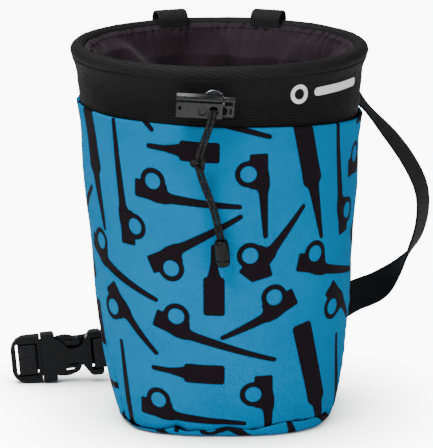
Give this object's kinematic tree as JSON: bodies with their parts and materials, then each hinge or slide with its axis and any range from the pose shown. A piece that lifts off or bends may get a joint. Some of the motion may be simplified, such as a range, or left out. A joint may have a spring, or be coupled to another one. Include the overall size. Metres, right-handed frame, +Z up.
{
  "type": "chalk bag",
  "caption": "Climbing chalk bag: printed fabric pot with stiff rolled rim, drawcord closure with spring cord lock, belt loops and webbing waist belt with side-release buckle.",
  "frame": {"origin": "centre of the flat underside of the base panel", "axes": "+Z up through the mouth, front of the bag with the cord lock towards -Y, buckle on the -X side"},
  "size_m": [0.2042, 0.1766, 0.1836],
  "materials": {
    "shell_cloth": "printed plain-weave polyester, matt",
    "black_cloth": "ribbed black nylon, matt",
    "lining_cloth": "brushed black fleece and thin nylon",
    "webbing": "woven black nylon webbing",
    "cord_sheath": "braided black cord",
    "thread": "black sewing thread",
    "stiffener_plastic": "plain extruded polyethylene",
    "lock_plastic": "satin dark grey nylon",
    "buckle_plastic": "satin black acetal",
    "cord_end_plastic": "satin black plastic",
    "spring_steel": "bright spring steel",
    "eyelet_metal": "plated, satin"
  },
  "bodies": {
    "bag": {"shell_front_panel": "shell_cloth", "shell_back_panel": "shell_cloth", "base_panel": "shell_cloth", "lining_base": "lining_cloth", "collar_band": "black_cloth", "collar_stiffener": "stiffener_plastic", "lining_wall": "lining_cloth", "closure_sleeve": "lining_cloth", "sleeve_drawcord": "cord_sheath", "rim_hoop": "stiffener_plastic", "rim_binding": "black_cloth", "eyelet_flange": "eyelet_metal", "eyelet_washer": "eyelet_metal", "drawcord_neck": "cord_sheath", "belt_loop_left": "webbing", "belt_loop_right": "webbing", "loop_bartack_left": "thread", "loop_bartack_right": "thread", "buckle_female": "buckle_plastic", "belt_fixed_end": "webbing", "waist_belt": "webbing"},
    "cord_lock": {"cord_lock_housing": "lock_plastic", "cord_lock_spring": "spring_steel"},
    "lock_button": {"cord_lock_plunger": "lock_plastic"},
    "drawcord_tail": {"drawcord_strand_left": "cord_sheath", "drawcord_strand_right": "cord_sheath", "drawcord_knot": "cord_sheath", "cord_end_sleeve": "cord_end_plastic", "cord_end_cap": "cord_end_plastic"},
    "buckle_male": {"buckle_male_frame": "buckle_plastic", "belt_free_end": "webbing"},
    "prong_upper": {"buckle_prong_upper": "buckle_plastic"},
    "prong_lower": {"buckle_prong_lower": "buckle_plastic"}
  },
  "joints": [
    {"name": "cord_lock_swivel", "type": "hinge", "parent": "bag", "child": "cord_lock", "pos_m": [-0.0026, -0.069, 0.1604], "axis": [0, 1, 0], "range_deg": [-30, 30]},
    {"name": "lock_button_press", "type": "slide", "parent": "cord_lock", "child": "lock_button", "axis": [-0.9986, 0, 0.0523], "range_m": [0, 0.004], "stiffness_N_per_m": 250, "springref_m": -0.002, "deforming": ["cord_lock_spring"]},
    {"name": "drawcord_swing", "type": "hinge", "parent": "bag", "child": "drawcord_tail", "pos_m": [-0.0026, -0.069, 0.1604], "axis": [0, 1, 0], "range_deg": [-35, 35]},
    {"name": "buckle_release", "type": "slide", "parent": "bag", "child": "buckle_male", "axis": [-0.9938, -0.0695, -0.0872], "range_m": [0, 0.02]},
    {"name": "prong_upper_squeeze", "type": "hinge", "parent": "buckle_male", "child": "prong_upper", "pos_m": [-0.08496, 0.04924, 0.0186], "axis": [-0.0698, 0.9976, 0], "range_deg": [0, 11.5]},
    {"name": "prong_lower_squeeze", "type": "hinge", "parent": "buckle_male", "child": "prong_lower", "pos_m": [-0.08388, 0.04932, 0.00625], "axis": [0.0698, -0.9976, 0], "range_deg": [0, 11.5]}
  ],
  "couplings": [
    {"joint": "prong_upper_squeeze", "follows": "buckle_release", "rad_per_m": 9.5993},
    {"joint": "prong_lower_squeeze", "follows": "buckle_release", "rad_per_m": 9.5993}
  ]
}
